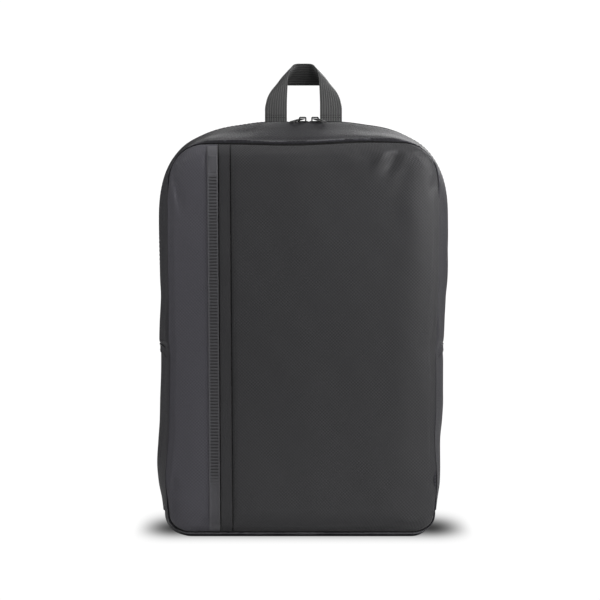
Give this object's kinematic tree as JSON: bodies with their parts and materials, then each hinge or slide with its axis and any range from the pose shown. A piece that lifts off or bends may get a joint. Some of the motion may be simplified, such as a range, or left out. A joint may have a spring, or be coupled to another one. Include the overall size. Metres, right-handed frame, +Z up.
{
  "type": "laptop backpack",
  "caption": "Slim upright laptop backpack in dark woven fabric with a ribbed trim tape down the front, a top zip, side pockets and a grab handle.",
  "frame": {"origin": "middle of the flat bottom, on the surface that the bag stands on", "axes": "+Z up, +X towards the viewer's right, -Y out of the front of the bag"},
  "size_m": [0.302, 0.2042, 0.4902],
  "materials": {
    "cloth": "woven charcoal twill, matte",
    "placket": "plain dark cloth, matte",
    "webbing": "woven webbing, slight sheen",
    "trim": "ribbed tape, slight sheen",
    "mesh": "padded air mesh, matte",
    "zip": "zip tape with its coil",
    "metal": "gunmetal, satin",
    "plastic": "moulded, satin"
  },
  "bodies": {
    "bag": {"front_panel_main": "cloth", "front_panel_side": "cloth", "pocket_placket": "placket", "trim_tape": "trim", "gusset_front": "cloth", "gusset_back": "cloth", "gusset_base": "cloth", "main_zip": "zip", "back_panel": "mesh", "grab_handle": "webbing", "side_pocket_left": "cloth", "side_pocket_right": "cloth", "side_pocket_hem_left": "webbing", "side_pocket_hem_right": "webbing", "shoulder_strap_left": "cloth", "shoulder_strap_right": "cloth", "strap_loop_left": "webbing", "strap_loop_right": "webbing", "strap_buckle_left": "plastic", "strap_buckle_right": "plastic", "strap_webbing_left": "webbing", "strap_webbing_right": "webbing", "strap_anchor_left": "cloth", "strap_anchor_right": "cloth", "zip_slider_left": "metal", "zip_slider_right": "metal"},
    "pull_left": {"pull_tab_left": "metal"},
    "pull_right": {"pull_tab_right": "metal"}
  },
  "joints": [
    {"name": "pull_left_swing", "type": "hinge", "parent": "bag", "child": "pull_left", "pos_m": [-0.0008, -0.005, 0.4325], "axis": [-0.7071, 0.7071, 0], "range_deg": [0, 110]},
    {"name": "pull_right_swing", "type": "hinge", "parent": "bag", "child": "pull_right", "pos_m": [0.012, -0.005, 0.4325], "axis": [-0.8192, -0.5736, 0], "range_deg": [0, 110]}
  ]
}
